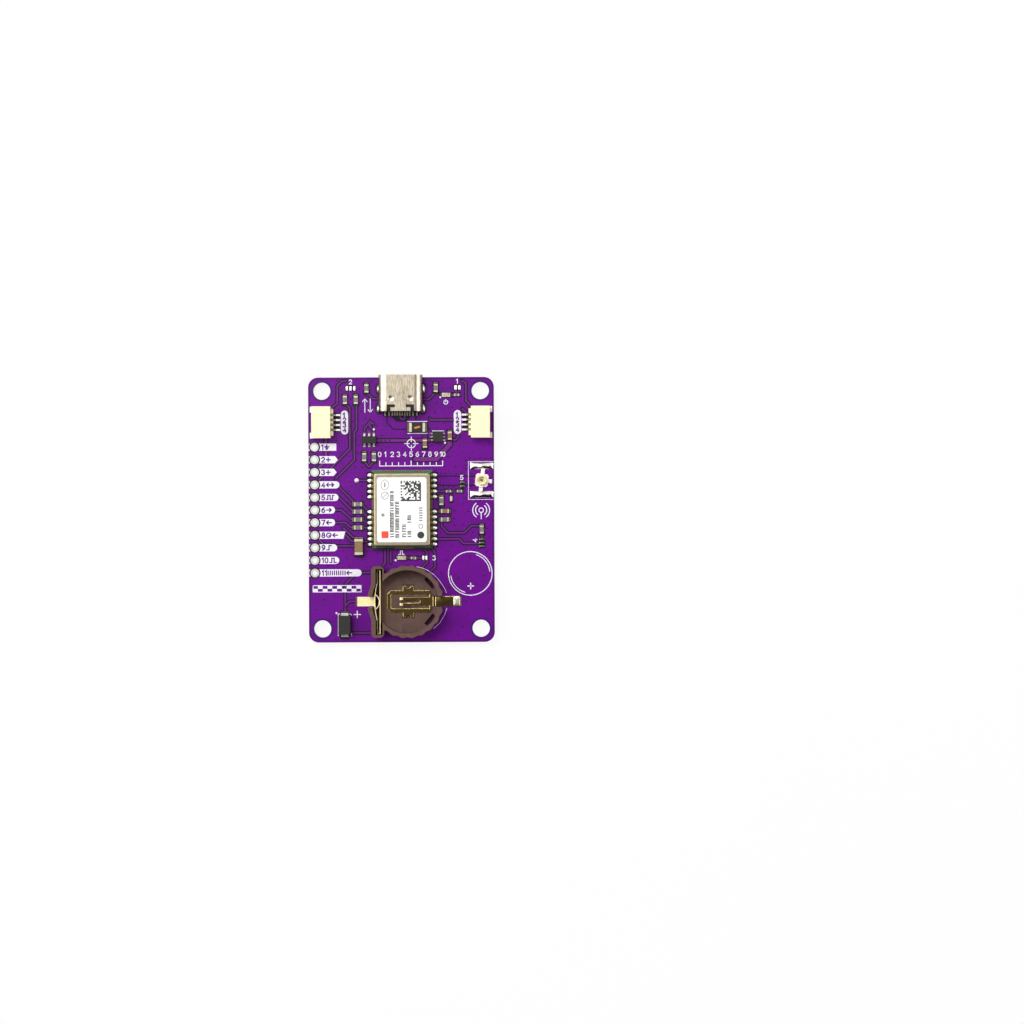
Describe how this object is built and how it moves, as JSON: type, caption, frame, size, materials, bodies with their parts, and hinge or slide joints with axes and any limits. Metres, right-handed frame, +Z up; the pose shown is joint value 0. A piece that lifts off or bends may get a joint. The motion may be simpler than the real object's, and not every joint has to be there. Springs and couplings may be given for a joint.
{
  "type": "satellite receiver breakout board",
  "caption": "Flat purple circuit board with a shielded positioning receiver, aerial socket, coin cell holder, data port, side-entry sockets, pin row and corner mounting holes.",
  "frame": {"origin": "centre of the four mounting holes, on the underside of the board", "axes": "+X towards the aerial socket edge, +Y towards the port, +Z up through the board"},
  "size_m": [0.0376, 0.0539, 0.0055],
  "materials": {
    "purple_solder_mask": "satin solder mask over glass epoxy",
    "bright_tin": "bright tinned copper and reflowed solder",
    "nickel_sheet": "drawn and folded nickel-plated sheet",
    "gold_flash": "gold-flashed spring contact",
    "black_moulding": "matt moulded epoxy or nylon",
    "cream_moulding": "satin moulded nylon",
    "green_mask": "satin solder mask over glass epoxy",
    "white_label": "matt printed label",
    "white_moulding": "satin liquid-crystal polymer",
    "brown_moulding": "satin glass-filled moulding",
    "chip_glaze": "dark glazed alumina with tinned ends",
    "capacitor_ceramic": "fired ceramic with tinned ends",
    "clear_epoxy": "clear epoxy block"
  },
  "bodies": {
    "root": {"circuit_board": "purple_solder_mask", "header_pads": "bright_tin", "jumper_pads": "bright_tin", "port_solder": "bright_tin", "socket_solder": "bright_tin", "receiver_solder": "bright_tin", "aerial_lands": "bright_tin", "chip_solder": "bright_tin", "surge_protector_leads": "bright_tin", "regulator_leads": "bright_tin", "diode_leads": "bright_tin", "left_socket_tabs": "bright_tin", "right_socket_tabs": "bright_tin", "port_shell": "nickel_sheet", "receiver_shield": "nickel_sheet", "port_contacts": "gold_flash", "left_socket_contacts": "gold_flash", "right_socket_contacts": "gold_flash", "aerial_ring": "gold_flash", "aerial_pin": "gold_flash", "battery_side_contact": "gold_flash", "battery_base_contact": "gold_flash", "port_insulator": "black_moulding", "surge_protector_body": "black_moulding", "regulator_body": "black_moulding", "diode_body": "black_moulding", "receiver_chip": "black_moulding", "left_socket_housing": "cream_moulding", "right_socket_housing": "cream_moulding", "receiver_board": "green_mask", "receiver_label": "white_label", "aerial_base": "white_moulding", "battery_holder": "brown_moulding", "fuse": "chip_glaze", "resistor_1": "chip_glaze", "resistor_2": "chip_glaze", "resistor_3": "chip_glaze", "resistor_4": "chip_glaze", "resistor_5": "chip_glaze", "resistor_6": "chip_glaze", "resistor_7": "chip_glaze", "resistor_8": "chip_glaze", "resistor_9": "chip_glaze", "resistor_10": "chip_glaze", "resistor_11": "chip_glaze", "resistor_12": "chip_glaze", "resistor_13": "chip_glaze", "small_resistor_1": "chip_glaze", "small_resistor_2": "chip_glaze", "small_resistor_3": "chip_glaze", "small_resistor_4": "chip_glaze", "bulk_capacitor": "capacitor_ceramic", "capacitor_1": "capacitor_ceramic", "capacitor_2": "capacitor_ceramic", "capacitor_3": "capacitor_ceramic", "inductor": "capacitor_ceramic", "receiver_oscillator": "capacitor_ceramic", "receiver_filter": "capacitor_ceramic", "power_led": "clear_epoxy", "signal_led": "clear_epoxy"}
  },
  "joints": []
}
